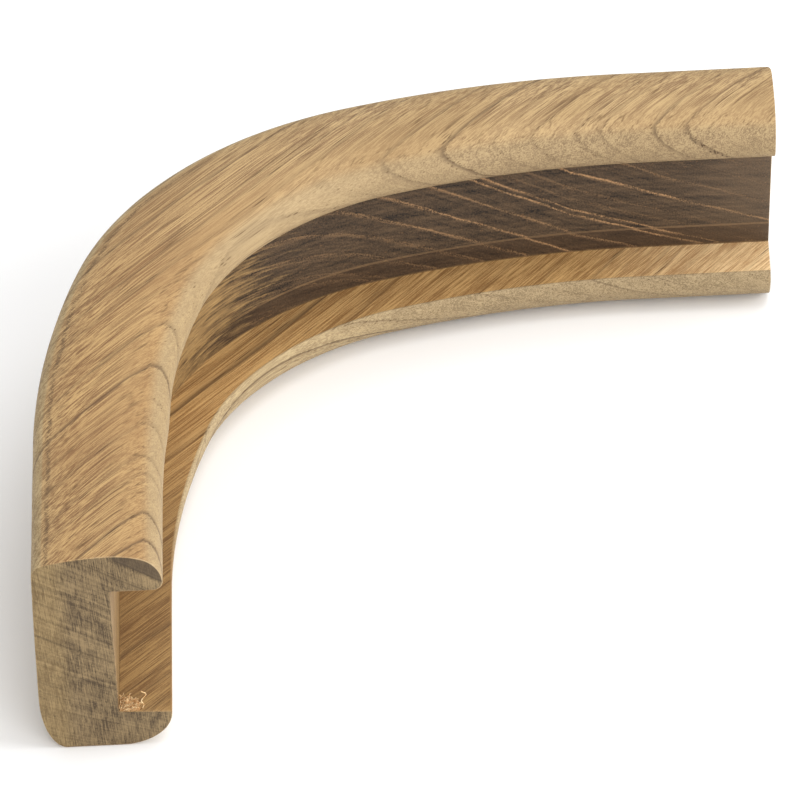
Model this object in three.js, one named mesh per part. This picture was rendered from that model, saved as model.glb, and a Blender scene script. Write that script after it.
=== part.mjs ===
// Corner piece of a slotted teak rail for a boat: one solid piece of teak, bent through a right angle in
// plan, with a C-shaped section whose slot opens to the inside of the bend and slips over a panel's edge.
// The near leg runs along +Y from its end at the front, and the far leg along +X to its end at the right.
// Millimetres, +Z up. The origin is at the middle of the part's outline in plan, on its flat underside.
import * as THREE from "three";

const RIGHT_ANGLE = Math.PI / 2;

// The section, across the rail. Distances across start at the outer face, and heights at the underside.
const railWidth = 25;
const railHeight = 44.5;
const wallThickness = 15;
const slotFloorHeight = 8;
const lipEdgeHeight = 7.5;
const slotCeilingHeight = 36.2;

// The crowned top: a crest, a flat arc out to the shoulder, a tighter one in to the nose of the upper lip.
const crestDistance = 15.3;
const outerCrownRadius = 58;
const innerCrownRadius = 18;
const shoulderRadius = 2.8;
const noseRadius = 5.7;
const outerFaceLean = 0.4;

// The rounded edges along the underside, each a quarter of an ellipse.
const heelWidth = 4.8;
const heelHeight = 11.2;
const toeWidth = 9.6;
const toeHeight = 7.2;

// The outer face in plan: straight, easing, tight in the middle, easing and straight again.
const nearLegLength = 41.2;
const farLegLength = 30;
const easeRadius = 199.3;
const easeAngle = THREE.MathUtils.degToRad(16.2);
const bendRadius = 76.5;

// What changes along the rail: the slot's wall and the lips stand further in round the bend, and the
// slot's floor climbs from the near end to the bend.
const wallSwell = 1.35;
const lipSwell = 1.9;
const floorRise = 1.9;
const floorRamp = 110;

const arcSegments = 4;
const easeSteps = 8;
const bendSteps = 34;

function railSection() {
  const innerTurn = Math.asin((railWidth - noseRadius - crestDistance) / (innerCrownRadius - noseRadius));
  const noseHeight = railHeight - innerCrownRadius + (innerCrownRadius - noseRadius) * Math.cos(innerTurn);
  const noseDistance = railWidth - noseRadius;
  const tipRadius = noseHeight - slotCeilingHeight;

  const shoulderDistance = outerFaceLean + shoulderRadius;
  const outerTurn = Math.asin((crestDistance - shoulderDistance) / (outerCrownRadius - shoulderRadius));
  const shoulderHeight =
    railHeight - outerCrownRadius + (outerCrownRadius - shoulderRadius) * Math.cos(outerTurn);

  const toeStart = railWidth - toeWidth;
  const faceMiddle = (heelHeight + shoulderHeight) / 2;
  const innerCrownHeight = railHeight - innerCrownRadius;
  const outerCrownHeight = railHeight - outerCrownRadius;
  const innerCrownStart = RIGHT_ANGLE - innerTurn;
  const outerCrownEnd = RIGHT_ANGLE + outerTurn;

  const section = new THREE.Shape();
  section.moveTo(heelWidth, 0);
  section.lineTo(toeStart, 0);
  section.absellipse(toeStart, toeHeight, toeWidth, toeHeight, -RIGHT_ANGLE, 0);
  section.lineTo(railWidth, lipEdgeHeight);
  section.lineTo(wallThickness, slotFloorHeight);
  section.lineTo(wallThickness, slotCeilingHeight);
  section.lineTo(railWidth - tipRadius, slotCeilingHeight);
  section.absarc(railWidth - tipRadius, noseHeight, tipRadius, -RIGHT_ANGLE, 0);
  section.absarc(noseDistance, noseHeight, noseRadius, 0, innerCrownStart);
  section.absarc(crestDistance, innerCrownHeight, innerCrownRadius, innerCrownStart, RIGHT_ANGLE);
  section.absarc(crestDistance, outerCrownHeight, outerCrownRadius, RIGHT_ANGLE, outerCrownEnd);
  section.absarc(shoulderDistance, shoulderHeight, shoulderRadius, outerCrownEnd, Math.PI);
  section.quadraticCurveTo(0, faceMiddle, 0, heelHeight);
  section.absellipse(heelWidth, heelHeight, heelWidth, heelHeight, Math.PI, 3 * RIGHT_ANGLE);
  return section;
}

// The plan curve of the outer face as a list of stations, each with its place, its heading from +Y
// towards +X, and the distance run from the near end.
function planStations() {
  const bendAngle = RIGHT_ANGLE - 2 * easeAngle;
  const stretches = [
    { length: nearLegLength, curvature: 0, steps: 1 },
    { length: easeRadius * easeAngle, curvature: 1 / easeRadius, steps: easeSteps },
    { length: bendRadius * bendAngle, curvature: 1 / bendRadius, steps: bendSteps },
    { length: easeRadius * easeAngle, curvature: 1 / easeRadius, steps: easeSteps },
    { length: farLegLength, curvature: 0, steps: 1 },
  ];
  const stations = [{ x: 0, y: 0, heading: 0, run: 0 }];
  for (const { length, curvature, steps } of stretches) {
    const start = stations.at(-1);
    for (let step = 1; step <= steps; step++) {
      const distance = (length * step) / steps;
      const heading = start.heading + distance * curvature;
      const middle = (start.heading + heading) / 2;
      const halfTurn = (heading - start.heading) / 2;
      const chord = curvature === 0 ? distance : (2 / curvature) * Math.sin(halfTurn);
      stations.push({
        x: start.x + chord * Math.sin(middle),
        y: start.y + chord * Math.cos(middle),
        heading,
        run: start.run + distance,
      });
    }
  }
  return stations;
}

// How far a point at this distance from the outer face moves inwards where the bend is tightest.
function swellAt(across) {
  if (across <= wallThickness) return (wallSwell * across) / wallThickness;
  const intoSlot = (across - wallThickness) / (railWidth - wallThickness);
  return THREE.MathUtils.lerp(wallSwell, lipSwell, intoSlot);
}

// How far a point of the section climbs, which only the two corners of the slot's floor do.
function climbAt(across, height, run) {
  const onFloor = across >= wallThickness && height >= lipEdgeHeight && height <= slotFloorHeight;
  return onFloor ? floorRise * Math.min(1, run / floorRamp) : 0;
}

// Extrudes the section straight, one step per station, then moves each vertex to its station's place.
function cornerRailGeometry() {
  const stations = planStations();
  const steps = stations.length - 1;
  const geometry = new THREE.ExtrudeGeometry(railSection(), {
    depth: steps,
    steps,
    bevelEnabled: false,
    curveSegments: arcSegments,
  });
  const end = stations.at(-1);
  const position = geometry.getAttribute("position");
  for (let i = 0; i < position.count; i++) {
    const station = stations[steps - Math.round(position.getZ(i))];
    const across = position.getX(i);
    const height = position.getY(i);
    const inwards = across + swellAt(across) * Math.sin(2 * station.heading);
    position.setXYZ(
      i,
      station.x + inwards * Math.cos(station.heading) - end.x / 2,
      station.y - inwards * Math.sin(station.heading) - end.y / 2,
      height + climbAt(across, height, station.run),
    );
  }
  geometry.computeVertexNormals();
  return geometry;
}

const teak = new THREE.MeshStandardMaterial({ color: 0xb3936b, roughness: 0.75, metalness: 0 });

const cornerRail = new THREE.Mesh(cornerRailGeometry(), teak);
cornerRail.name = "corner_rail";

const part = new THREE.Group();
part.add(cornerRail);

export default part;
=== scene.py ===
"""Corner piece of a slotted teak rail for a boat: one solid piece of bare teak, bent through a right angle
in plan, with a C-shaped section whose slot opens to the inside of the bend.

The near leg runs along +Y and the far leg along +X. Sizes are in millimetres until the last step of each
mesh, which turns them into metres. +Z is up, and the origin is at the middle of the underside's outline."""

import math
from types import SimpleNamespace

import bpy
from mathutils import Matrix, Vector


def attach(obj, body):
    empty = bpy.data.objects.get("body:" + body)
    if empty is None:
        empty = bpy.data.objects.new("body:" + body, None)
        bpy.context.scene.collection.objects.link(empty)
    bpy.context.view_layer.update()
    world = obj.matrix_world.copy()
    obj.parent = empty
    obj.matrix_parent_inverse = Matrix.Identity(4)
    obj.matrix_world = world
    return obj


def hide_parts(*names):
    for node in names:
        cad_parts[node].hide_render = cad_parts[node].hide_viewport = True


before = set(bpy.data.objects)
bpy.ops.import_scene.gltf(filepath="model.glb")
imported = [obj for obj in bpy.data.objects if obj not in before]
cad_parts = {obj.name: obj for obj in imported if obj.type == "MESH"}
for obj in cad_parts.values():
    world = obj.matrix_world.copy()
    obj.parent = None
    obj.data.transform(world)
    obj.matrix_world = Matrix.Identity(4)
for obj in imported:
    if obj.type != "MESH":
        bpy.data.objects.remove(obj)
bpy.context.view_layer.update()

METRES = 0.001

# The section, across the rail. Distances across start at the outer face, and heights at the underside.
RAIL_WIDTH = 25.0
RAIL_HEIGHT = 44.5
WALL_THICKNESS = 15.0
SLOT_FLOOR = 8.0
LIP_EDGE = 7.5
SLOT_CEILING = 36.2
CREST = 15.3
OUTER_CROWN_RADIUS = 58.0
INNER_CROWN_RADIUS = 18.0
SHOULDER_RADIUS = 2.8
NOSE_RADIUS = 5.7
OUTER_FACE_LEAN = 0.4
HEEL = (4.8, 11.2)
TOE = (9.6, 7.2)
LIP_ARRIS = 0.3
CUTTER_STEP_HEIGHT = 12.7
CUTTER_STEP_BLEND = 0.12
# The narrow flat between the lower lip's arris and the slot's floor, and how far in from the outer face the
# far end's edge is worn.
LIP_FLAT = 0.12
WORN_WIDTH = 5.0

# How far apart the outline's points are at most, on broad curves and on tight ones, and how many points
# lie along the bow of the outer face.
POINT_SPACING = 0.85
FINE_SPACING = 0.4
FACE_POINTS = 36

# All the sizes that the sweep takes, in millimetres and radians. First comes the outer face in plan:
# straight, easing, tight in the middle, easing and straight again. Then comes what changes along the rail,
# how its edges are broken, and how many stations the sweep has.
SIZES = {
    "Near leg length": 41.2,
    "Ease radius": 199.3,
    "Ease angle": math.radians(16.2),
    "Bend radius": 76.5,
    "Bend angle": math.radians(57.6),
    "Far leg length": 30.0,
    "Wall swell": 1.35,
    "Lip swell": 1.9,
    "Floor rise": 1.9,
    "Floor ramp": 110.0,
    "Arris": 0.2,
    "Worn arris": 1.2,
    "Cutter step": 0.3,
    "Cutter step start": 85.0,
    "Cutter step full": 125.0,
    "Tip bulge": 0.9,
    "Tip bulge place": 50.0,
    "Tip bulge length": 13.0,
    "End lean at foot": -1.4,
    "End lean per height": 0.056,
    "End lean length": 25.0,
    "Sanding unevenness": 0.1,
    "Sanding waves per millimetre": 0.07,
    "Stations": 330,
    "Arris steps": 4,
}
# On the quarter turn that rounds each end's edge, in radians: how far the look of the sawn face reaches, and
# where the broken edge fades into the side.
SAWN_TURN = 0.4
EDGE_FADE = (1.1, 1.5)

# The fibres run level at this angle from +X, and the growth rings lie across them.
FIBRE_ANGLE = math.radians(50.0)
FIBRE = (math.cos(FIBRE_ANGLE), math.sin(FIBRE_ANGLE), 0.0)


def linear(colour):
    """The sRGB hex value as linear red, green, blue and alpha."""
    channels = [int(colour[i : i + 2], 16) / 255 for i in (1, 3, 5)]
    return tuple(c / 12.92 if c <= 0.04045 else ((c + 0.055) / 1.055) ** 2.4 for c in channels) + (1.0,)


# Short names for the nodes used often, each with its settings.
KINDS = {
    "plus": ("ShaderNodeMath", {"operation": "ADD"}),
    "minus": ("ShaderNodeMath", {"operation": "SUBTRACT"}),
    "times": ("ShaderNodeMath", {"operation": "MULTIPLY"}),
    "over": ("ShaderNodeMath", {"operation": "DIVIDE"}),
    "smaller": ("ShaderNodeMath", {"operation": "MINIMUM"}),
    "larger": ("ShaderNodeMath", {"operation": "MAXIMUM"}),
    "below": ("ShaderNodeMath", {"operation": "LESS_THAN"}),
    "sign": ("ShaderNodeMath", {"operation": "SIGN"}),
    "size": ("ShaderNodeMath", {"operation": "ABSOLUTE"}),
    "sine": ("ShaderNodeMath", {"operation": "SINE"}),
    "cosine": ("ShaderNodeMath", {"operation": "COSINE"}),
    "exponent": ("ShaderNodeMath", {"operation": "EXPONENT"}),
    "vector": ("ShaderNodeCombineXYZ", {}),
    "parts": ("ShaderNodeSeparateXYZ", {}),
    "add vectors": ("ShaderNodeVectorMath", {"operation": "ADD"}),
    "multiply vectors": ("ShaderNodeVectorMath", {"operation": "MULTIPLY"}),
    "scale": ("ShaderNodeVectorMath", {"operation": "SCALE"}),
    "dot": ("ShaderNodeVectorMath", {"operation": "DOT_PRODUCT"}),
    "range": ("ShaderNodeMapRange", {}),
    "soft range": ("ShaderNodeMapRange", {"interpolation_type": "SMOOTHSTEP"}),
    "noise": ("ShaderNodeTexNoise", {}),
    "mix": ("ShaderNodeMix", {"data_type": "RGBA"}),
    "named": ("GeometryNodeInputNamedAttribute", {"data_type": "FLOAT"}),
    "named vector": ("GeometryNodeInputNamedAttribute", {"data_type": "FLOAT_VECTOR"}),
    "store": ("GeometryNodeStoreNamedAttribute", {"domain": "POINT"}),
    "store vector": ("GeometryNodeStoreNamedAttribute", {"data_type": "FLOAT_VECTOR", "domain": "POINT"}),
}


def add(tree, kind, *values, named=None, **settings):
    """Adds a node with its settings, then gives its shown inputs, in order or by name, a link, a value or a
    colour as sRGB hex."""
    node_type, usual = KINDS.get(kind, (kind, {}))
    node = tree.nodes.new(node_type)
    for name, setting in {**usual, **settings}.items():
        setattr(node, name, setting)
    shown = [s for s in node.inputs if s.enabled]
    chosen = [*zip(shown, values), *((node.inputs[k], v) for k, v in (named or {}).items())]
    for socket, value in chosen:
        if isinstance(value, bpy.types.Node):
            value = next(s for s in value.outputs if s.enabled)
        if isinstance(value, bpy.types.NodeSocket):
            tree.links.new(value, socket)
        elif isinstance(value, str) and value.startswith("#"):
            socket.default_value = linear(value)
        elif value is not None:
            socket.default_value = value
    return node


def growing_tree(name, takes, sizes, gives):
    """A Geometry Nodes tree with a named input for each size, its inputs, and its sizes by socket."""
    tree = bpy.data.node_groups.new(name, "GeometryNodeTree")
    tree.interface.new_socket(takes, in_out="INPUT", socket_type="NodeSocketGeometry")
    by_socket = {}
    for size_name, size in sizes.items():
        kind = "NodeSocketInt" if isinstance(size, int) else "NodeSocketFloat"
        socket = tree.interface.new_socket(size_name, in_out="INPUT", socket_type=kind)
        by_socket[socket.identifier] = size
    tree.interface.new_socket(gives, in_out="OUTPUT", socket_type="NodeSocketGeometry")
    return tree, add(tree, "NodeGroupInput").outputs, by_socket


def empty_material(name):
    """A new material and its empty tree of nodes."""
    material = bpy.data.materials.new(name)
    material.use_nodes = True
    material.node_tree.nodes.clear()
    return material, material.node_tree


# ---- The rail's section ----


def arc(middle, radii, start, end, closest=POINT_SPACING):
    """Points along part of an ellipse, without its first one."""
    length = abs(end - start) * max(radii)
    steps = max(4, math.ceil(length / closest))
    turns = (start + (end - start) * i / steps for i in range(1, steps + 1))
    return [(middle[0] + radii[0] * math.cos(t), middle[1] + radii[1] * math.sin(t)) for t in turns]


def line(start, end, closest=POINT_SPACING):
    """Points along a straight stretch, without its first one."""
    steps = max(1, math.ceil(math.dist(start, end) / closest))
    return [tuple(s + (e - s) * i / steps for s, e in zip(start, end)) for i in range(1, steps + 1)]


def section_points():
    """The outline, anticlockwise from the heel, as a list of (across, height, part of the section)."""
    quarter = math.pi / 2
    inner_turn = math.asin((RAIL_WIDTH - NOSE_RADIUS - CREST) / (INNER_CROWN_RADIUS - NOSE_RADIUS))
    nose_height = RAIL_HEIGHT - INNER_CROWN_RADIUS
    nose_height += (INNER_CROWN_RADIUS - NOSE_RADIUS) * math.cos(inner_turn)
    tip_radius = nose_height - SLOT_CEILING
    shoulder_across = OUTER_FACE_LEAN + SHOULDER_RADIUS
    outer_turn = math.asin((CREST - shoulder_across) / (OUTER_CROWN_RADIUS - SHOULDER_RADIUS))
    shoulder_height = RAIL_HEIGHT - OUTER_CROWN_RADIUS
    shoulder_height += (OUTER_CROWN_RADIUS - SHOULDER_RADIUS) * math.cos(outer_turn)
    toe_start = (RAIL_WIDTH - TOE[0], 0.0)
    edge_slope = math.atan2(SLOT_FLOOR - LIP_EDGE, RAIL_WIDTH - WALL_THICKNESS)
    edge = (RAIL_WIDTH - LIP_ARRIS, LIP_EDGE + LIP_ARRIS * math.tan(edge_slope) - LIP_ARRIS)
    floor_edge = (edge[0] - LIP_FLAT, edge[1] + LIP_ARRIS + LIP_FLAT * math.tan(edge_slope))
    step = (WALL_THICKNESS, CUTTER_STEP_HEIGHT)
    above_step = (WALL_THICKNESS, CUTTER_STEP_HEIGHT + CUTTER_STEP_BLEND)
    ceiling = (WALL_THICKNESS, SLOT_CEILING)
    tip = (RAIL_WIDTH - tip_radius, nose_height)
    nose = (RAIL_WIDTH - NOSE_RADIUS, nose_height)
    nose_end = quarter - inner_turn
    inner_crown = (CREST, RAIL_HEIGHT - INNER_CROWN_RADIUS)
    outer_crown = (CREST, RAIL_HEIGHT - OUTER_CROWN_RADIUS)
    crown_end = quarter + outer_turn
    shoulder = (shoulder_across, shoulder_height)
    face_bow = [
        (OUTER_FACE_LEAN * t * t, HEEL[1] + (shoulder_height - HEEL[1]) * t)
        for t in (1 - i / FACE_POINTS for i in range(1, FACE_POINTS + 1))
    ]
    stretches = [
        ("under", [(HEEL[0], 0.0), *line((HEEL[0], 0.0), toe_start)]),
        ("toe", arc((toe_start[0], TOE[1]), (TOE[0], TOE[1]), -quarter, 0)),
        ("toe", arc(edge, (LIP_ARRIS, LIP_ARRIS), 0, quarter + edge_slope, LIP_ARRIS / 4)),
        ("floor", [floor_edge, *line(floor_edge, (WALL_THICKNESS, SLOT_FLOOR))]),
        ("strip", line((WALL_THICKNESS, SLOT_FLOOR), step)),
        ("wall", [above_step, *line(above_step, ceiling)]),
        ("ceiling", line(ceiling, (tip[0], SLOT_CEILING))),
        ("nose", arc(tip, (tip_radius, tip_radius), -quarter, 0, FINE_SPACING)),
        ("nose", arc(nose, (NOSE_RADIUS, NOSE_RADIUS), 0, nose_end)),
        ("crown", arc(inner_crown, (INNER_CROWN_RADIUS, INNER_CROWN_RADIUS), nose_end, quarter)),
        ("crown", arc(outer_crown, (OUTER_CROWN_RADIUS, OUTER_CROWN_RADIUS), quarter, crown_end)),
        ("face", arc(shoulder, (SHOULDER_RADIUS, SHOULDER_RADIUS), crown_end, math.pi, FINE_SPACING)),
        ("face", face_bow),
        ("face", arc(HEEL, HEEL, math.pi, 3 * quarter)[:-1]),
    ]
    return [(across, height, part) for part, points in stretches for across, height in points]


def section_mesh():
    """The outline as a closed chain of edges, with what the sweep needs to know at each point."""
    points = section_points()
    count = len(points)
    edges = [(i, (i + 1) % count) for i in range(count)]
    mesh = bpy.data.meshes.new("rail_section")
    mesh.from_pydata([(across, height, 0.0) for across, height, _ in points], edges, [])
    shares = ("climb_share", "step_share", "tip_share", "slot_share", "worn_share")
    kinds = {"section_place": "FLOAT_VECTOR", "section_out": "FLOAT_VECTOR", **dict.fromkeys(shares, "FLOAT")}
    for name, kind in kinds.items():
        mesh.attributes.new(name, kind, "POINT")
    layers = {name: mesh.attributes[name].data for name in kinds}
    for i, (across, height, part) in enumerate(points):
        before, after = points[i - 1], points[(i + 1) % count]
        along = Vector((after[0] - before[0], after[1] - before[1], 0)).normalized()
        wall_share = (SLOT_CEILING - height) / (SLOT_CEILING - SLOT_FLOOR)
        on_wall = part in ("strip", "wall")
        on_lip_top = part == "floor" or (part == "toe" and height > LIP_EDGE - LIP_ARRIS)
        over_slot = part in ("ceiling", "nose", "crown") and across > WALL_THICKNESS
        layers["section_place"][i].vector = (across, height, 0)
        layers["section_out"][i].vector = (along.y, -along.x, 0)
        layers["climb_share"][i].value = wall_share if on_wall else float(on_lip_top)
        layers["step_share"][i].value = float(part == "strip" or height == SLOT_FLOOR)
        lip_reach = (across - WALL_THICKNESS) / (RAIL_WIDTH - WALL_THICKNESS)
        layers["tip_share"][i].value = max(0.0, lip_reach) ** 2 if over_slot else 0.0
        layers["slot_share"][i].value = float(part in ("floor", "strip", "wall", "ceiling"))
        on_shoulder = part in ("face", "crown")
        layers["worn_share"][i].value = max(0.0, 1 - across / WORN_WIDTH) if on_shoulder else 0.0
    return mesh


# ---- The rail: a tree that walks the plan step by step, then sweeps the section along it ----


def rail_tree(material):
    """A tree that sweeps the section, and its sizes by socket."""
    tree, given, by_socket = growing_tree("sweep_rail", "Section", SIZES, "Rail")

    # Where each stretch of the plan begins, as a distance run from the near end.
    ease_length = add(tree, "times", given["Ease radius"], given["Ease angle"])
    bend_length = add(tree, "times", given["Bend radius"], given["Bend angle"])
    bend_start = add(tree, "plus", given["Near leg length"], ease_length)
    bend_end = add(tree, "plus", bend_start, bend_length)
    far_leg_start = add(tree, "plus", bend_end, ease_length)
    total = add(tree, "plus", far_leg_start, given["Far leg length"])
    far_run = add(tree, "minus", total, given["Worn arris"])

    def heading_at(run):
        first = add(tree, "range", run, given["Near leg length"], bend_start, 0.0, given["Ease angle"])
        middle = add(tree, "range", run, bend_start, bend_end, 0.0, given["Bend angle"])
        last = add(tree, "range", run, bend_end, far_leg_start, 0.0, given["Ease angle"])
        return add(tree, "plus", add(tree, "plus", first, middle), last)

    # The first and last few stations share one place, and make the broken edges of the ends there.
    index = add(tree, "GeometryNodeInputIndex")
    last_index = add(tree, "minus", given["Stations"], 1)
    from_end = add(tree, "smaller", index, add(tree, "minus", last_index, index))
    last_free = add(tree, "minus", last_index, given["Arris steps"])
    run = add(tree, "range", index, given["Arris steps"], last_free, given["Worn arris"], far_run)
    turn = add(tree, "range", from_end, 0.0, given["Arris steps"], 0.0, math.pi / 2)
    in_arris = add(tree, "below", from_end, add(tree, "plus", given["Arris steps"], 0.5))
    past_middle = add(tree, "sign", add(tree, "minus", index, add(tree, "times", last_index, 0.5)))
    end_side = add(tree, "times", in_arris, past_middle)
    stations = add(tree, "GeometryNodeMeshLine", given["Stations"], None, (0, 0, 0), (0, 0, 1))
    path = add(tree, "GeometryNodeMeshToCurve", stations)
    for name, value in (("run", run), ("turn", turn), ("end_side", end_side)):
        path = add(tree, "store", path, None, name, value)

    # The plan is walked station by station, and each step goes the way the rail heads half way along it.
    run = add(tree, "named", "run")
    index_before = add(tree, "larger", add(tree, "minus", index, 1), 0.0)
    run_before = add(tree, "GeometryNodeFieldAtIndex", run, index_before, data_type="FLOAT", domain="POINT")
    step_length = add(tree, "minus", run, run_before)
    step_heading = heading_at(add(tree, "minus", run, add(tree, "times", step_length, 0.5)))
    step_way = add(tree, "vector", add(tree, "sine", step_heading), add(tree, "cosine", step_heading))
    step = add(tree, "scale", step_way, named={"Scale": step_length})
    walked = add(tree, "GeometryNodeAccumulateField", step, data_type="FLOAT_VECTOR", domain="POINT")
    path = add(tree, "store vector", path, None, "place", walked.outputs["Leading"])
    path = add(tree, "store", path, None, "heading", heading_at(run))
    outline = add(tree, "GeometryNodeMeshToCurve", given["Section"])
    swept = add(tree, "GeometryNodeCurveToMesh", path, outline, named={"Fill Caps": True})

    # The outline runs the way that leaves the faces pointing inwards, so they are flipped. From here on each
    # value is looked up on the swept mesh.
    swept = add(tree, "GeometryNodeFlipFaces", swept)
    section_place = add(tree, "parts", add(tree, "named vector", "section_place"))
    section_out = add(tree, "parts", add(tree, "named vector", "section_out"))
    across, height = section_place.outputs[:2]
    heading = add(tree, "named", "heading")
    turn = add(tree, "named", "turn")
    end_side = add(tree, "named", "end_side")
    cosine, sine = add(tree, "cosine", heading), add(tree, "sine", heading)

    # The slot's wall and the lips stand further in round the bend.
    bend_share = add(tree, "sine", add(tree, "times", heading, 2.0))
    wall_swell = add(tree, "range", across, 0.0, WALL_THICKNESS, 0.0, given["Wall swell"])
    lip_extra = add(tree, "minus", given["Lip swell"], given["Wall swell"])
    lip_swell = add(tree, "range", across, WALL_THICKNESS, RAIL_WIDTH, 0.0, lip_extra)
    swell = add(tree, "times", bend_share, add(tree, "plus", wall_swell, lip_swell))
    inwards = add(tree, "plus", across, swell)

    # The cutter's second pass left a low step along the wall, which fades out into the near leg.
    step_range = (given["Cutter step start"], given["Cutter step full"])
    step_size = add(tree, "soft range", run, *step_range, 0.0, given["Cutter step"])
    step = add(tree, "times", add(tree, "named", "step_share"), step_size)
    inwards = add(tree, "plus", inwards, step)

    # The upper lip bulges a little into the near leg's slot.
    from_bulge = add(tree, "minus", run, given["Tip bulge place"])
    from_bulge = add(tree, "over", from_bulge, given["Tip bulge length"])
    bulge = add(tree, "exponent", add(tree, "times", add(tree, "times", from_bulge, from_bulge), -1.0))
    bulge = add(tree, "times", add(tree, "times", bulge, given["Tip bulge"]), add(tree, "named", "tip_share"))
    inwards = add(tree, "plus", inwards, bulge)

    # The slot's floor climbs from the near end to the bend.
    climb = add(tree, "range", run, 0.0, given["Floor ramp"], 0.0, given["Floor rise"])
    climbed = add(tree, "plus", height, add(tree, "times", add(tree, "named", "climb_share"), climb))

    # Both ends have their edges rounded by a quarter turn, and the far end leans out towards the top.
    far_side = add(tree, "range", end_side, 0.0, 1.0)
    wear = add(tree, "minus", given["Worn arris"], given["Arris"])
    wear = add(tree, "times", wear, add(tree, "times", add(tree, "named", "worn_share"), far_side))
    radius = add(tree, "plus", given["Arris"], wear)
    set_in = add(tree, "times", radius, add(tree, "minus", 1.0, add(tree, "sine", turn)))
    set_back = add(tree, "times", radius, add(tree, "minus", 1.0, add(tree, "cosine", turn)))
    reach = add(tree, "times", end_side, add(tree, "minus", given["Worn arris"], set_back))
    lean = add(tree, "times", height, given["End lean per height"])
    lean = add(tree, "plus", given["End lean at foot"], lean)
    lean_from = add(tree, "minus", total, given["End lean length"])
    lean = add(tree, "times", lean, add(tree, "range", run, lean_from, far_run))
    onwards = add(tree, "plus", reach, lean)

    # Hand sanding leaves the outside slightly uneven, but the underside was left as planed.
    rail_place = add(tree, "vector", across, run, climbed)
    waves = given["Sanding waves per millimetre"]
    hills = add(tree, "noise", rail_place, named={"Scale": waves, "Detail": 2.0})
    sanded = add(tree, "minus", 1.0, add(tree, "named", "slot_share"))
    sanded = add(tree, "times", sanded, add(tree, "range", height, 0.0, 3.0))
    uneven = add(tree, "times", given["Sanding unevenness"], sanded)
    uneven = add(tree, "times", add(tree, "minus", hills, 0.5), uneven)
    moved_out = add(tree, "minus", uneven, set_in)
    inwards = add(tree, "plus", inwards, add(tree, "times", section_out.outputs[0], moved_out))
    climbed = add(tree, "plus", climbed, add(tree, "times", section_out.outputs[1], moved_out))

    # The outline in plan is centred on the origin.
    place = add(tree, "named vector", "place")
    end_place = add(
        tree,
        "GeometryNodeSampleIndex",
        named={"Geometry": path, "Value": place, "Index": last_index},
        data_type="FLOAT_VECTOR",
    )
    to_middle = add(tree, "scale", end_place, named={"Scale": -0.5})
    half_arris = add(tree, "times", given["Worn arris"], 0.5)
    for_arris = add(tree, "vector", add(tree, "times", half_arris, -1.0), half_arris)
    to_middle = add(tree, "add vectors", to_middle, for_arris)
    inward_way = add(tree, "vector", cosine, add(tree, "times", sine, -1.0))
    shift_in = add(tree, "scale", inward_way, named={"Scale": inwards})
    shift_on = add(tree, "scale", add(tree, "vector", sine, cosine), named={"Scale": onwards})
    for shift in (shift_in, shift_on, to_middle, add(tree, "vector", None, None, climbed)):
        place = add(tree, "add vectors", place, shift)
    in_metres = add(tree, "scale", place, named={"Scale": METRES})
    shaped = add(tree, "GeometryNodeSetPosition", swept, None, in_metres)

    # The teak reads where a point lies on the rail, and whether a saw cut it or its edge was broken there.
    shaped = add(tree, "store vector", shaped, None, "rail_place", add(tree, "vector", across, run, height))
    sawn = add(tree, "range", turn, 0.0, SAWN_TURN, 1.0, 0.0)
    shaped = add(tree, "store", shaped, None, "sawn_share", sawn)
    broken = add(tree, "minus", add(tree, "range", turn, *EDGE_FADE, 1.0, 0.0), sawn)
    shaped = add(tree, "store", shaped, None, "arris_share", broken)

    # The two caps are the only faces with more than four corners, and they stay flat.
    corners = add(tree, "GeometryNodeInputMeshFaceNeighbors")
    is_side = add(tree, "FunctionNodeCompare", corners, 5, data_type="INT", operation="LESS_THAN")
    shaped = add(tree, "GeometryNodeSetShadeSmooth", shaped, None, is_side)
    real = add(tree, "GeometryNodeRealizeInstances", shaped)
    add(tree, "NodeGroupOutput", add(tree, "GeometryNodeSetMaterial", real, None, material))
    return tree, by_socket


def grown(name, mesh, tree, by_socket):
    """The result of a tree on a mesh, as a plain mesh on a new object at the origin."""
    source = bpy.data.objects.new(name + "_source", mesh)
    bpy.context.scene.collection.objects.link(source)
    modifier = source.modifiers.new("grow", "NODES")
    modifier.node_group = tree
    for identifier, size in by_socket.items():
        modifier[identifier] = size
    evaluated = source.evaluated_get(bpy.context.evaluated_depsgraph_get())
    baked = bpy.data.meshes.new_from_object(evaluated)
    bpy.data.objects.remove(source)
    baked.name = name
    piece = bpy.data.objects.new(name, baked)
    bpy.context.scene.collection.objects.link(piece)
    return piece


# ---- The teak ----

# Growth ring lines: the place of each across the grain in millimetres, how strong it is on the outside and
# in the slot, and over how many millimetres the latewood before it darkens.
RING_LINES = [
    (-62.0, 0.25, 0.1, 3.0),
    (-53.0, 0.16, 0.1, 2.5),
    (-45.0, 0.25, 0.15, 2.0),
    (-42.5, 0.81, 0.15, 2.2),
    (-34.5, 0.36, 0.2, 3.0),
    (-27.0, 0.1, 0.25, 2.0),
    (-19.5, 0.2, 0.5, 1.6),
    (-12.0, 0.25, 0.8, 1.2),
    (-4.0, 0.56, 0.55, 1.2),
    (3.3, 0.25, 0.9, 0.9),
    (5.4, 0.36, 0.8, 1.0),
    (9.6, 0.3, 0.12, 2.5),
    (13.5, 0.1, 0.15, 2.0),
    (19.4, 0.42, 1.0, 1.2),
    (26.5, 0.72, 0.3, 1.2),
    (33.0, 0.12, 0.12, 1.5),
    (38.0, 0.25, 0.1, 2.0),
    (44.0, 0.3, 0.1, 1.6),
    (47.5, 0.25, 0.1, 1.6),
    (55.8, 0.72, 0.1, 1.2),
    (61.0, 0.81, 0.1, 1.0),
]
# Each line stops over this many millimetres.
RING_EDGE = 0.5
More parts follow.
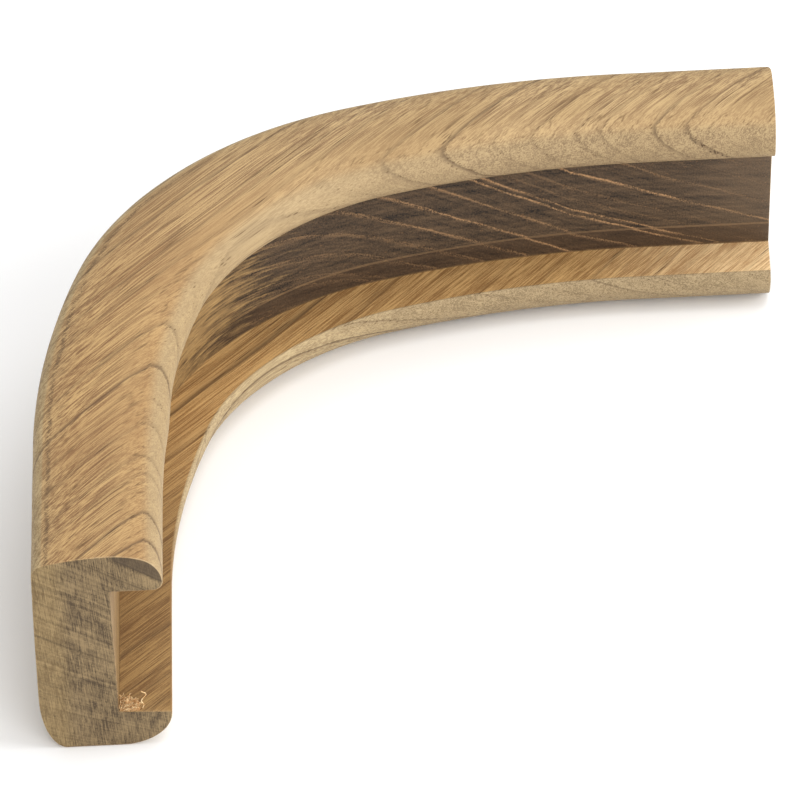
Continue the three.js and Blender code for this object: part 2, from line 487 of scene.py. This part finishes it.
# How the rings lie, in millimetres: each leans over as it rises, most of all near the foot, stands upright
# above the top level, and bows along the slot's far wall. It wanders and feathers a little on its way.
RINGS = {
    "Slope": 1.25,
    "Top level": 43.4,
    "Foot bend": 19.6,
    "Foot reach": 14.0,
    "Offset": 0.9,
    "Bow": 0.2,
    "Bow middle": 33.0,
    "Bow reach": 45.0,
    "Wander": 2.2,
    "Feather": 0.9,
}
# Past this place across the grain lies one broad band of dark latewood.
LATEWOOD = 60.6

# Noise drawn out along the fibres: the length and width of each kind of streak in millimetres, then how
# many finer layers it has and how strong they are.
STREAKS = {
    "hair": (14.0, 0.2, 2.0, 0.55),
    "fibres": (55.0, 0.6, 3.0, 0.6),
    "bands": (70.0, 2.6, 3.0, 0.5),
    "threads": (60.0, 2.4, 2.0, 0.5),
    "clouds": (36.0, 14.0, 2.0, 0.5),
}
# Open vessels: how long and how far apart they are, in millimetres.
VESSELS = (12.0, 0.62)


def weighted(tree, *parts):
    """The sum of several patterns, each times its weight."""
    total = None
    for pattern, weight in parts:
        share = add(tree, "times", pattern, weight)
        total = add(tree, "plus", total, share) if total else share
    return total


def wood_places(tree):
    """Places in millimetres, on the object, along the fibres and on the rail's section, and what cut them."""
    wood = SimpleNamespace()
    in_metres = add(tree, "ShaderNodeTexCoord").outputs["Object"]
    wood.place = add(tree, "scale", in_metres, named={"Scale": 1 / METRES})
    wood.grain = add(tree, "ShaderNodeMapping", wood.place, None, (0, 0, -FIBRE_ANGLE))
    on_rail = add(tree, "ShaderNodeAttribute", attribute_name="rail_place")
    wood.across, wood.run, wood.height = add(tree, "parts", on_rail.outputs["Vector"]).outputs
    wood.slot = add(tree, "ShaderNodeAttribute", attribute_name="slot_share").outputs["Fac"]
    wood.sawn = add(tree, "ShaderNodeAttribute", attribute_name="sawn_share").outputs["Fac"]
    section_out = add(tree, "ShaderNodeAttribute", attribute_name="section_out").outputs["Vector"]
    wood.inward = add(tree, "parts", section_out).outputs[0]
    wood.on_wall = add(tree, "times", wood.slot, add(tree, "soft range", wood.inward, 0.5, 0.9))
    wood.on_wall = add(tree, "times", wood.on_wall, add(tree, "minus", 1.0, wood.sawn))
    return wood


def grow_rings(tree, wood):
    """Each point's place across the growth rings, in millimetres: a ring lies flatter low down."""
    grain_parts = add(tree, "parts", wood.grain)
    level = add(tree, "smaller", grain_parts.outputs[2], RINGS["Top level"])
    foot = add(tree, "exponent", add(tree, "times", level, -1 / RINGS["Foot reach"]))
    foot = add(tree, "times", foot, RINGS["Foot bend"])
    ring = add(tree, "minus", add(tree, "times", level, RINGS["Slope"]), foot)
    ring = add(tree, "plus", ring, RINGS["Offset"])
    ring = add(tree, "minus", ring, grain_parts.outputs[1])
    from_bow = add(tree, "size", add(tree, "minus", add(tree, "parts", wood.place), RINGS["Bow middle"]))
    bow = add(tree, "times", add(tree, "smaller", from_bow, RINGS["Bow reach"]), -RINGS["Bow"])
    ring = add(tree, "plus", ring, add(tree, "times", bow, wood.on_wall))
    wander = add(tree, "multiply vectors", wood.grain, (1 / 40, 1 / 10, 1 / 10))
    wander = add(tree, "noise", wander, named={"Scale": 1.0, "Detail": 3.0})
    wander = add(tree, "times", add(tree, "minus", wander, 0.5), RINGS["Wander"])
    ring = add(tree, "plus", ring, wander)
    feather = add(tree, "times", add(tree, "minus", wood.hair, 0.5), RINGS["Feather"])
    return add(tree, "plus", ring, feather)


def ring_lines(tree, wood):
    """The dark line that ends each ring: it darkens slowly, then stops within half a millimetre."""
    lines = None
    for line_place, outside, in_slot, fade in RING_LINES:
        rise = add(tree, "range", wood.ring, line_place - fade, line_place)
        rise = add(tree, "times", rise, rise)
        fall = add(tree, "range", wood.ring, line_place, line_place + RING_EDGE, 1.0, 0.0)
        strength = add(tree, "range", wood.on_wall, 0.0, 1.0, outside, in_slot)
        one = add(tree, "times", add(tree, "times", rise, fall), strength)
        lines = add(tree, "larger", lines, one) if lines else one
    return add(tree, "times", lines, add(tree, "soft range", wood.run, 238.0, 246.0, 1.0, 0.5))


def grow_grain(tree, wood):
    """The patterns that run through the whole block: streaks, specks, rings and pores."""
    for name, (length, width, detail, roughness) in STREAKS.items():
        stretched = add(tree, "multiply vectors", wood.grain, (1 / length, 1 / width, 1 / width))
        layers = {"Scale": 1.0, "Detail": detail, "Roughness": roughness}
        setattr(wood, name, add(tree, "noise", stretched, named=layers))
    # Specks are about a third of a millimetre across.
    wood.specks = add(tree, "noise", wood.place, named={"Scale": 3.2, "Detail": 2.0, "Roughness": 0.7})
    wood.ring = grow_rings(tree, wood)
    wood.lines = ring_lines(tree, wood)
    fine = {"W": add(tree, "times", wood.ring, 0.8), "Scale": 1.0, "Detail": 3.0}
    wood.fine_rings = add(tree, "noise", named=fine, noise_dimensions="1D")

    # Streaks that follow the rings show where the cutter burnished the fibre ends.
    across_rings, along_rail = add(tree, "times", wood.ring, 1.1), add(tree, "times", wood.run, 1 / 11)
    ring_streaks = add(tree, "vector", across_rings, along_rail)
    layers = {"Scale": 1.0, "Detail": 4.0, "Roughness": 0.62}
    wood.ring_streaks = add(tree, "noise", ring_streaks, named=layers)

    # Pores, 0.2 to 0.35 mm across: dots seen end on and short dark grooves from the side. They crowd
    # together along the ring lines and in some of the bands.
    length, spacing = VESSELS
    vessels = add(tree, "multiply vectors", wood.grain, (1 / length, 1 / spacing, 1 / spacing))
    vessels = add(tree, "ShaderNodeTexVoronoi", vessels, named={"Scale": 1.0})
    pores = add(tree, "soft range", vessels.outputs["Distance"], 0.1, 0.3, 1.0, 0.0)
    crowd = weighted(tree, (wood.lines, 1.6), (wood.bands, 1.0))
    crowd = add(tree, "soft range", crowd, 0.45, 0.8, 0.15, 1.0)
    wood.pores = add(tree, "times", pores, crowd)


def side_grain(tree, wood):
    """Side grain as sanding leaves it: crisp fine fibres over broad bands, with thin dark threads."""
    crisp = add(tree, "range", wood.hair, 0.36, 0.64)
    tone = weighted(
        tree,
        (crisp, 0.2),
        (wood.hair, 0.15),
        (wood.fibres, 0.42),
        (wood.bands, 0.3),
        (wood.fine_rings, 0.14),
        (wood.specks, 0.24),
    )
    wood.tone = add(tree, "minus", tone, 0.225)
    wood.tan = add(tree, "soft range", wood.tone, 0.33, 0.67)
    # The inner slope of the crown is calmer than the rest of the top.
    calm = add(tree, "soft range", wood.across, 13.0, 19.5, 0.0, 0.5)
    calm = add(tree, "times", calm, add(tree, "soft range", wood.height, 34.0, 37.0))
    wood.top_tan = add(tree, "mix", calm, wood.tan, 0.56, data_type="FLOAT")
    # Painted light: the top lightens towards the far leg, where the light from the right falls stronger.
    onwards = add(tree, "soft range", wood.run, 60.0, 200.0)
    dark = add(tree, "mix", onwards, "#7c5a3a", "#85684a")
    pale = add(tree, "mix", onwards, "#c09d69", "#c7a979")
    sanded = add(tree, "mix", wood.top_tan, dark, pale)
    flush = add(tree, "mix", onwards, "#967148", "#9a7b50")
    sanded = add(tree, "mix", add(tree, "soft range", wood.clouds, 0.35, 0.65, 0.0, 0.38), sanded, flush)
    thread_lines = add(tree, "size", add(tree, "minus", wood.threads, 0.52))
    thread_lines = add(tree, "range", thread_lines, 0.0, 0.03, 1.0, 0.0)
    in_pale = add(tree, "soft range", wood.fibres, 0.62, 0.4, 0.0, 0.6)
    return add(tree, "mix", add(tree, "times", thread_lines, in_pale), sanded, "#5f4629")


def rounded_edges(tree, wood, sanded):
    """The inner rounding is rubbed smooth and pale, and painted darker along the far leg, where it turns from
    the
    light: painted shade. The outer shoulder turns from the light and is painted darker and duller: painted
    shade.
    """
    pale = add(tree, "soft range", wood.inward, 0.3, 0.72)
    wood.pale = add(tree, "times", pale, add(tree, "range", wood.height, 34.0, 37.0))
    rubbed = add(tree, "mix", wood.top_tan, "#8f795a", "#b29b73")
    # Painted shade: along the far leg the inner rounding turns from the light and is darker.
    far_rounding_in_painted_shade = add(tree, "mix", wood.tan, "#7b664b", "#a68f69")
    rubbed = add(tree, "mix", add(tree, "soft range", wood.run, 150.0, 215.0), rubbed, far_rounding_in_painted_shade)
    sanded = add(tree, "mix", add(tree, "times", wood.pale, 0.85), sanded, rubbed)
    # Painted shade: the outer shoulder turns from the light and is darker and duller.
    shoulder_painted_shade = add(tree, "soft range", wood.inward, -0.12, -0.4)
    shoulder_shade_tone = add(tree, "mix", wood.tan, "#8c7753", "#b59f78")
    sanded = add(tree, "mix", add(tree, "times", shoulder_painted_shade, 0.85), sanded, shoulder_shade_tone)

    # The lower lip's rounding is pale too, a little darker along the far leg and browner at the near end.
    lip = add(tree, "range", wood.height, 9.5, 8.5)
    lip = add(tree, "times", lip, add(tree, "soft range", wood.across, 16.0, 20.0))
    lip_tone = add(tree, "mix", wood.tan, "#95805f", "#b9a47d")
    lip_far = add(tree, "mix", wood.tan, "#827053", "#ab9673")
    lip_tone = add(tree, "mix", add(tree, "soft range", wood.run, 140.0, 200.0), lip_tone, lip_far)
    near_lip = add(tree, "soft range", wood.run, 75.0, 35.0)
    near_lip = add(tree, "times", near_lip, add(tree, "range", wood.height, 6.8, 7.3))
    lip_tone = add(tree, "mix", near_lip, lip_tone, "#8a6a40")
    return add(tree, "mix", add(tree, "times", lip, 0.9), sanded, lip_tone)


def marks_outside(tree, wood, sanded):
    """What the outside shows: a far nose painted darker where it turns down from the light, which is painted
    shade, and what time and work left: a row of pits and a line of dirt.
    """
    # Painted shade: the far nose turns down, away from the light, and is darker there.
    nose = add(tree, "times", add(tree, "range", wood.height, 41.5, 37.5, 0.0, 0.3), wood.pale)
    nose = add(tree, "times", nose, add(tree, "soft range", wood.run, 120.0, 190.0))
    sanded = add(tree, "mix", nose, sanded, "#75634a")

    # Open vessels show as a row of dark pits where a ring meets the far leg's nose.
    pits = add(tree, "noise", wood.place, named={"Scale": 1.5, "Detail": 1.0})
    pits = add(tree, "soft range", pits, 0.53, 0.6)
    by_ring = add(tree, "size", add(tree, "minus", wood.ring, LATEWOOD))
    by_ring = add(tree, "soft range", by_ring, 0.2, 0.9, 1.0, 0.0)
    pits = add(tree, "times", pits, by_ring)
    pits = add(tree, "times", pits, add(tree, "soft range", wood.run, 242.0, 247.0))
    sanded = add(tree, "mix", add(tree, "times", pits, wood.pale), sanded, "#4a3824")

    # Dirt sits in a broken line along the shoulder, where the sanding of the crown stopped.
    drift = {"W": wood.run, "Scale": 0.08, "Detail": 3.0}
    drift = add(tree, "noise", named=drift, noise_dimensions="1D")
    dirt = add(tree, "plus", wood.across, add(tree, "times", drift, 1.6))
    dirt = add(tree, "size", add(tree, "minus", dirt, 4.3))
    dirt = add(tree, "soft range", dirt, 0.15, 0.7, 1.0, 0.0)
    broken = add(tree, "soft range", add(tree, "plus", wood.fibres, wood.specks), 0.85, 1.15, 1.0, 0.15)
    dirt = add(tree, "times", add(tree, "times", dirt, broken), add(tree, "range", wood.height, 40.0, 41.5))
    dirt = add(tree, "times", dirt, add(tree, "soft range", wood.run, 120.0, 170.0, 0.75, 0.1))
    return add(tree, "mix", dirt, sanded, "#5e4830")


def routed_slot(tree, wood):
    """The routed slot: golden where the cutter ran with the fibres, nearly black where it met their ends,
    which is partly char and partly painted shade on the far wall under the upper lip.
    """
    golden = add(tree, "mix", wood.tan, "#6f5030", "#a38252")
    # Painted light: the floor gets lighter towards the bend and far end, where more light reaches the slot.
    lit_floor_bend = add(tree, "mix", wood.tan, "#8a653b", "#c9a26a")
    lit_floor_far = add(tree, "mix", wood.tan, "#ab855a", "#e2c292")
    golden = add(tree, "mix", add(tree, "soft range", wood.run, 50.0, 105.0), golden, lit_floor_bend)
    golden = add(tree, "mix", add(tree, "soft range", wood.run, 218.0, 250.0), golden, lit_floor_far)
    in_streaks = add(tree, "range", wood.ring_streaks, 0.3, 0.7, 0.0, 0.8)
    wall_tan = add(tree, "plus", add(tree, "times", wood.tan, 0.2), in_streaks)
    wall_golden = add(tree, "mix", wall_tan, "#664a2c", "#ab8b59")
    golden = add(tree, "mix", wood.on_wall, golden, wall_golden)

    # Char lies in patches about 6 mm across the rings and 16 mm along the rail.
    across_rings, along_rail = add(tree, "times", wood.ring, 0.16), add(tree, "times", wood.run, 1 / 16)
    patches = add(tree, "vector", across_rings, along_rail, wood.height)
    patches = add(tree, "noise", patches, named={"Scale": 1.0, "Detail": 5.0, "Roughness": 0.6})
    char = weighted(tree, (wood.ring_streaks, 0.3), (wood.specks, 0.42), (patches, 0.45))
    char = add(tree, "range", char, 0.45, 0.71)
    dark = add(tree, "mix", char, "#19130e", "#604c37")
    # Painted light: the dark wall gets lighter towards the open far end, where more light reaches in.
    dark = add(tree, "mix", add(tree, "soft range", wood.run, 236.0, 258.0, 0.0, 0.35), dark, "#6d5a46")
    # The low strip under the cutter's step, beside the floor, is darker.
    step_edge = (CUTTER_STEP_HEIGHT + 0.1, CUTTER_STEP_HEIGHT - 0.1)
    low_strip = add(tree, "soft range", wood.height, *step_edge)
    dark = add(tree, "mix", add(tree, "times", low_strip, 0.4), dark, "#412d1b")

    # How squarely the cutter met the fibres decides how dark the wall is: partly char, and partly painted
    # shade on the far wall, which faces away from the light under the upper lip.
    normal = add(tree, "ShaderNodeNewGeometry").outputs["Normal"]
    fibre_cut = add(tree, "dot", normal, FIBRE).outputs["Value"]
    uneven = add(tree, "times", add(tree, "minus", wood.ring_streaks, 0.5), 0.9)
    burnt = add(tree, "plus", fibre_cut, uneven)
    burnt = add(tree, "minus", burnt, add(tree, "times", low_strip, 0.14))
    burnt = add(tree, "soft range", burnt, 0.1, -0.26)
    wood.burnt = add(tree, "times", burnt, wood.on_wall)
    return add(tree, "mix", wood.burnt, golden, dark)


def lines_on_side(tree, wood, side):
    """Ring lines and pores are dark, but in the charred wall under painted shade they stay as pale orange
    streaks.
    """
    line_tone = add(tree, "mix", wood.burnt, "#4f3a27", "#b88f64")
    ragged = add(tree, "plus", wood.ring_streaks, wood.specks)
    ragged = add(tree, "range", ragged, 0.9, 1.08, 0.1, 1.1)
    streaky = add(tree, "mix", wood.burnt, 1.0, ragged, data_type="FLOAT")
    lines = add(tree, "times", add(tree, "times", wood.lines, streaky), 0.95)
    side = add(tree, "mix", lines, side, line_tone)
    pore_tone = add(tree, "mix", wood.burnt, "#553b1e", "#7a5a38")
    side = add(tree, "mix", add(tree, "times", wood.pores, 0.7), side, pore_tone)

    # The step that the cutter left along the wall catches the light as a thin pale line.
    step_middle = CUTTER_STEP_HEIGHT + CUTTER_STEP_BLEND / 2
    ledge = add(tree, "size", add(tree, "minus", wood.height, step_middle))
    ledge = add(tree, "soft range", ledge, 0.06, 0.18, 0.55, 0.0)
    ledge = add(tree, "times", ledge, wood.slot)
    ledge = add(tree, "times", ledge, add(tree, "soft range", wood.run, 125.0, 150.0))
    return add(tree, "mix", ledge, side, "#8a6e50")


def sawn_ends(tree, wood):
    """The sawn ends: dark blotched end grain with fine upright saw marks, tilted by four degrees."""
    tilted = add(tree, "ShaderNodeMapping", wood.place, None, (0, math.radians(4), 0))
    saw = add(tree, "multiply vectors", tilted, (5.0, 5.0, 0.3))
    layers = {"Scale": 1.0, "Detail": 3.0, "Roughness": 0.65, "Distortion": 0.5}
    wood.saw = add(tree, "noise", saw, named=layers)
    blotches = add(tree, "multiply vectors", wood.grain, (0.13, 0.2, 0.17))
    layers = {"Scale": 1.0, "Detail": 6.0, "Roughness": 0.7, "Distortion": 0.8}
    wood.blotches = add(tree, "noise", blotches, named=layers)
    shade = weighted(tree, (wood.saw, 0.6), (wood.blotches, 0.36), (wood.specks, 0.2), (wood.fine_rings, 0.2))
    shade = add(tree, "soft range", shade, 0.54, 0.81)
    inner_end = add(tree, "mix", shade, "#493b2b", "#917b59")
    outer_end = add(tree, "mix", shade, "#6b573a", "#9b845d")
    ends = add(tree, "mix", add(tree, "soft range", wood.across, 3.5, 7.5), outer_end, inner_end)
    end_lines = add(tree, "times", wood.lines, add(tree, "soft range", wood.height, 6.0, 14.0, 0.0, 0.8))
    ends = add(tree, "mix", end_lines, ends, "#3d3021")
    latewood = add(tree, "soft range", wood.ring, LATEWOOD, LATEWOOD + 0.6, 0.0, 0.75)
    ends = add(tree, "mix", latewood, ends, "#4a3d2f")
    return add(tree, "mix", add(tree, "times", wood.pores, 0.6), ends, "#3a2c1b")


def broken_edges(tree, wood, colour):
    """The broken edges of the ends are fresh, pale wood, most of all near the top of the inner side."""
    fresh = add(tree, "ShaderNodeAttribute", attribute_name="arris_share").outputs["Fac"]
    fresh = add(tree, "times", fresh, add(tree, "soft range", wood.blotches, 0.35, 0.6, 0.3, 1.0))
    fresh = add(tree, "times", fresh, add(tree, "soft range", wood.across, 8.0, 14.0, 0.3, 1.0))
    fresh = add(tree, "times", fresh, add(tree, "range", wood.height, 8.5, 36.0, 0.3, 1.0))
    return add(tree, "mix", add(tree, "times", fresh, 0.6), colour, "#b49c78")


def fine_relief(tree, wood):
    """Pores and latewood lines lie a little below the surface, and the saw leaves fine ridges."""
    relief = weighted(tree, (wood.hair, 0.5), (wood.fibres, 0.5))
    relief = add(tree, "minus", relief, add(tree, "times", wood.pores, 0.9))
    relief = add(tree, "minus", relief, add(tree, "times", wood.lines, 0.3))
    saw_marks = add(tree, "times", add(tree, "times", wood.saw, wood.sawn), 1.2)
    relief = add(tree, "plus", relief, saw_marks)
    smooth = add(tree, "minus", 1.0, add(tree, "times", wood.pale, 0.6))
    height = add(tree, "times", relief, smooth)
    return add(tree, "ShaderNodeBump", named={"Height": height, "Distance": 0.00009, "Strength": 0.8})


def teak_material():
    """Teak (Tectona grandis), solid and bare, with no oil or varnish.

    Its outside is sanded, which leaves it dry and nearly matt; the slot is routed, which burnishes it and
    chars it where the cutter meets the ends of the fibres, and its far wall carries painted shade as well;
    and its two ends are sawn, which leaves dark open end grain with fine hairlines. Fibres and pores run
    level, at one angle through the whole piece."""
    material, tree = empty_material("teak_bare_sanded_routed_and_sawn")
    wood = wood_places(tree)
    grow_grain(tree, wood)
    sanded = side_grain(tree, wood)
    sanded = rounded_edges(tree, wood, sanded)
    sanded = marks_outside(tree, wood, sanded)
    side = add(tree, "mix", wood.slot, sanded, routed_slot(tree, wood))
    side = lines_on_side(tree, wood, side)
    colour = add(tree, "mix", wood.sawn, side, sawn_ends(tree, wood))
    colour = broken_edges(tree, wood, colour)
    roughness = add(tree, "range", wood.tone, 0.3, 0.7, 0.7, 0.55)
    roughness = add(tree, "plus", roughness, add(tree, "times", wood.sawn, 0.12))
    finish = {"Base Color": colour, "Roughness": roughness, "IOR": 1.5, "Specular IOR Level": 0.3}
    finish["Normal"] = fine_relief(tree, wood)
    surface = add(tree, "ShaderNodeBsdfPrincipled", named=finish)
    add(tree, "ShaderNodeOutputMaterial", surface)
    return material


def fibre_material():
    """Teak fibres torn out by the cutter: fresh, pale and dry, so they catch the light."""
    material, tree = empty_material("teak_torn_fibres")
    in_metres = add(tree, "ShaderNodeTexCoord").outputs["Object"]
    place = add(tree, "scale", in_metres, named={"Scale": 1 / METRES})
    patches = add(tree, "noise", place, named={"Scale": 1.2, "Detail": 2.0})
    colour = add(tree, "mix", add(tree, "soft range", patches, 0.35, 0.65), "#c0915c", "#e6c99a")
    surface = add(tree, "ShaderNodeBsdfPrincipled", named={"Base Color": colour, "Roughness": 0.8})
    add(tree, "ShaderNodeOutputMaterial", surface)
    return material


# The tuft in the near corner of the slot, in millimetres: a patch of floor and the fibres that stand on it,
# longest by the slot's wall.
TUFT_PATCH_MIDDLE = (-55.9, -76.9, 7.85)
TUFT_PATCH_SIZE = (3.9, 2.7)
TUFT_LONGEST_AT = -57.8
TUFT_SHORTEST_AT = -53.9
TUFT = {
    "Fibres per square millimetre": 64.0,
    "Longest": 2.7,
    "Fibre radius": 0.055,
    "Curl": 2.6,
    "Seed": 7,
}
# The one longer fibre: its two ends, its radius, and how many waves it makes.
LONE_FIBRE = ((-53.4, -77.6, 7.9), (-52.9, -77.6, 12.1))
LONE_FIBRE_RADIUS = 0.11
LONE_FIBRE_WAVES = 1.7


def tuft_tree(material):
    """A tree that stands bent fibres on a small patch, longest against the slot's wall."""
    tree, given, by_socket = growing_tree("stand_torn_fibres", "Patch", TUFT, "Tuft")
    roots = add(
        tree,
        "GeometryNodeDistributePointsOnFaces",
        given["Patch"],
        named={"Density": given["Fibres per square millimetre"], "Seed": given["Seed"]},
    )
    root_parts = add(tree, "parts", add(tree, "GeometryNodeInputPosition"))
    from_wall = add(tree, "range", root_parts, TUFT_LONGEST_AT, TUFT_SHORTEST_AT, 1.0, 0.18)
    lengths = add(tree, "FunctionNodeRandomValue", named={"Seed": given["Seed"]}, data_type="FLOAT")
    lengths = add(tree, "range", lengths, 0.0, 1.0, 0.35, 1.0)
    length = add(tree, "times", add(tree, "times", from_wall, lengths), given["Longest"])
    tilt = add(tree, "FunctionNodeRandomValue", (-0.5, 0.1, -0.6), (0.5, 1.0, 0.6), data_type="FLOAT_VECTOR")
    stem = add(tree, "GeometryNodeCurvePrimitiveLine", (0, 0, -0.1), (0, 0, 1))
    stem = add(tree, "GeometryNodeResampleCurve", stem, None, 7)
    stems = add(
        tree,
        "GeometryNodeInstanceOnPoints",
        roots.outputs["Points"],
        named={"Instance": stem, "Rotation": tilt, "Scale": add(tree, "vector", length, length, length)},
    )
    stems = add(tree, "GeometryNodeRealizeInstances", stems)
    along = add(tree, "GeometryNodeSplineParameter").outputs["Factor"]
    curl = add(tree, "noise", named={"Scale": 0.9, "Detail": 1.0}).outputs["Color"]
    curl = add(tree, "add vectors", curl, (-0.5, -0.5, -0.55))
    towards_tip = add(tree, "times", add(tree, "times", along, along), given["Curl"])
    curl = add(tree, "scale", curl, named={"Scale": towards_tip})
    stems = add(tree, "GeometryNodeSetPosition", stems, None, None, curl)
    thin = {"Resolution": 5, "Radius": given["Fibre radius"]}
    round_section = add(tree, "GeometryNodeCurvePrimitiveCircle", named=thin)
    tubes = add(tree, "GeometryNodeCurveToMesh", stems, round_section, named={"Fill Caps": True})

    # One longer fibre stands apart from the rest, and waves more and more towards its tip.
    lone = add(tree, "GeometryNodeCurvePrimitiveLine", *LONE_FIBRE)
    lone = add(tree, "GeometryNodeResampleCurve", lone, None, 30)
    wave = add(tree, "sine", add(tree, "times", along, 2 * math.pi * LONE_FIBRE_WAVES))
    wave = add(tree, "times", wave, add(tree, "range", along, 0.0, 1.0, 0.15, 0.55))
    sideways = add(tree, "vector", wave, add(tree, "times", wave, 0.4))
    lone = add(tree, "GeometryNodeSetPosition", lone, None, None, sideways)
    thick = {"Resolution": 6, "Radius": LONE_FIBRE_RADIUS}
    round_section = add(tree, "GeometryNodeCurvePrimitiveCircle", named=thick)
    lone = add(tree, "GeometryNodeCurveToMesh", lone, round_section, named={"Fill Caps": True})
    joined = add(tree, "GeometryNodeJoinGeometry", tubes)
    tree.links.new(lone.outputs[0], joined.inputs[0])
    tubes = add(tree, "GeometryNodeTransform", joined, named={"Scale": (METRES, METRES, METRES)})
    real = add(tree, "GeometryNodeRealizeInstances", tubes)
    add(tree, "NodeGroupOutput", add(tree, "GeometryNodeSetMaterial", real, None, material))
    return tree, by_socket


def tuft_patch():
    """The small patch of the slot's floor that the torn fibres stand on, in millimetres."""
    middle, (width, depth) = Vector(TUFT_PATCH_MIDDLE), TUFT_PATCH_SIZE
    corners = [(-1, -1), (1, -1), (1, 1), (-1, 1)]
    mesh = bpy.data.meshes.new("tuft_patch")
    places = [middle + Vector((x * width / 2, y * depth / 2, 0)) for x, y in corners]
    mesh.from_pydata(places, [], [(0, 1, 2, 3)])
    return mesh


teak = teak_material()
corner = grown("teak_corner_rail", section_mesh(), *rail_tree(teak))
corner.data.set_sharp_from_angle(angle=math.radians(40))
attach(corner, "root")
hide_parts("corner_rail")

torn = fibre_material()
tuft = grown("torn_fibres", tuft_patch(), *tuft_tree(torn))
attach(tuft, "root")

# ---- Floor, camera and lights ----

ROOM_BRIGHTNESS = 0.75
# Soft square panels, all aimed at the rail: name, place and width in metres, and power in watts.
PANELS = [
    ("overhead_panel", (0.25, 0.1, 0.9), 0.7, 3.4),
    ("right_panel", (0.85, -0.2, 0.45), 0.5, 4.6),
    ("front_panel", (0.3, -0.85, 0.5), 0.6, 4.0),
]
PANEL_AIM = (0.0, 0.0, 0.02)

# The camera stands in front and looks down at the rail with a long lens: angles in degrees, places in
# metres, and the lens and sensor in millimetres.
CAMERA = {
    "Azimuth": -0.78,
    "Elevation": 35.87,
    "Roll": -3.20,
    "Distance": 2.0176,
    "Slide right": -0.002518,
    "Slide up": -0.001155,
    "Aim height": 0.022,
    "Lens": 467.2,
    "Sensor": 36.0,
}


def studio():
    """A plain pale floor in an evenly lit white room, with three soft panels."""
    floor_mesh = bpy.data.meshes.new("floor")
    # The floor lies a tenth of a millimetre under the rail, so that the two don't share a plane.
    reach, drop = 3.0, 0.0001
    corners = [(x * reach, y * reach, -drop) for x, y in ((-1, -1), (1, -1), (1, 1), (-1, 1))]
    floor_mesh.from_pydata(corners, [], [(0, 1, 2, 3)])
    floor = bpy.data.objects.new("floor", floor_mesh)
    paper = bpy.data.materials.new("matt_white_paper")
    paper.use_nodes = True
    shader = paper.node_tree.nodes["Principled BSDF"]
    shader.inputs["Base Color"].default_value = linear("#f7f7f7")
    shader.inputs["Roughness"].default_value = 0.9
    floor_mesh.materials.append(paper)
    bpy.context.scene.collection.objects.link(floor)

    world = bpy.data.worlds.new("even_white_room")
    world.use_nodes = True
    background = world.node_tree.nodes["Background"]
    background.inputs["Color"].default_value = linear("#ffffff")
    background.inputs["Strength"].default_value = ROOM_BRIGHTNESS
    bpy.context.scene.world = world

    for name, place, width, power in PANELS:
        light = bpy.data.lights.new(name, "AREA")
        light.size = width
        light.energy = power
        lamp = bpy.data.objects.new(name, light)
        lamp.location = place
        aim = Vector(PANEL_AIM) - Vector(place)
        lamp.rotation_mode = "QUATERNION"
        lamp.rotation_quaternion = aim.to_track_quat("-Z", "Y")
        bpy.context.scene.collection.objects.link(lamp)
    bpy.context.scene.view_settings.view_transform = "Standard"


def camera():
    """The camera, turned about the point that it looks at, then slid sideways and up."""
    azimuth, elevation, roll = (math.radians(CAMERA[k]) for k in ("Azimuth", "Elevation", "Roll"))
    level_reach = math.cos(elevation)
    forward = (math.sin(azimuth) * level_reach, math.cos(azimuth) * level_reach, -math.sin(elevation))
    forward = Vector(forward)
    level = Vector((math.cos(azimuth), -math.sin(azimuth), 0))
    upright = level.cross(forward)
    right = math.cos(roll) * level + math.sin(roll) * upright
    up = math.cos(roll) * upright - math.sin(roll) * level
    lens = bpy.data.cameras.new("camera")
    lens.sensor_width = CAMERA["Sensor"]
    lens.lens = CAMERA["Lens"]
    lens.clip_start, lens.clip_end = 0.1, 20.0
    viewer = bpy.data.objects.new("camera", lens)
    place = -forward * CAMERA["Distance"] + right * CAMERA["Slide right"] + up * CAMERA["Slide up"]
    place += Vector((0, 0, CAMERA["Aim height"]))
    turn = Matrix((right, up, -forward)).transposed().to_4x4()
    viewer.matrix_world = Matrix.Translation(place) @ turn
    bpy.context.scene.collection.objects.link(viewer)
    bpy.context.scene.camera = viewer


studio()
camera()
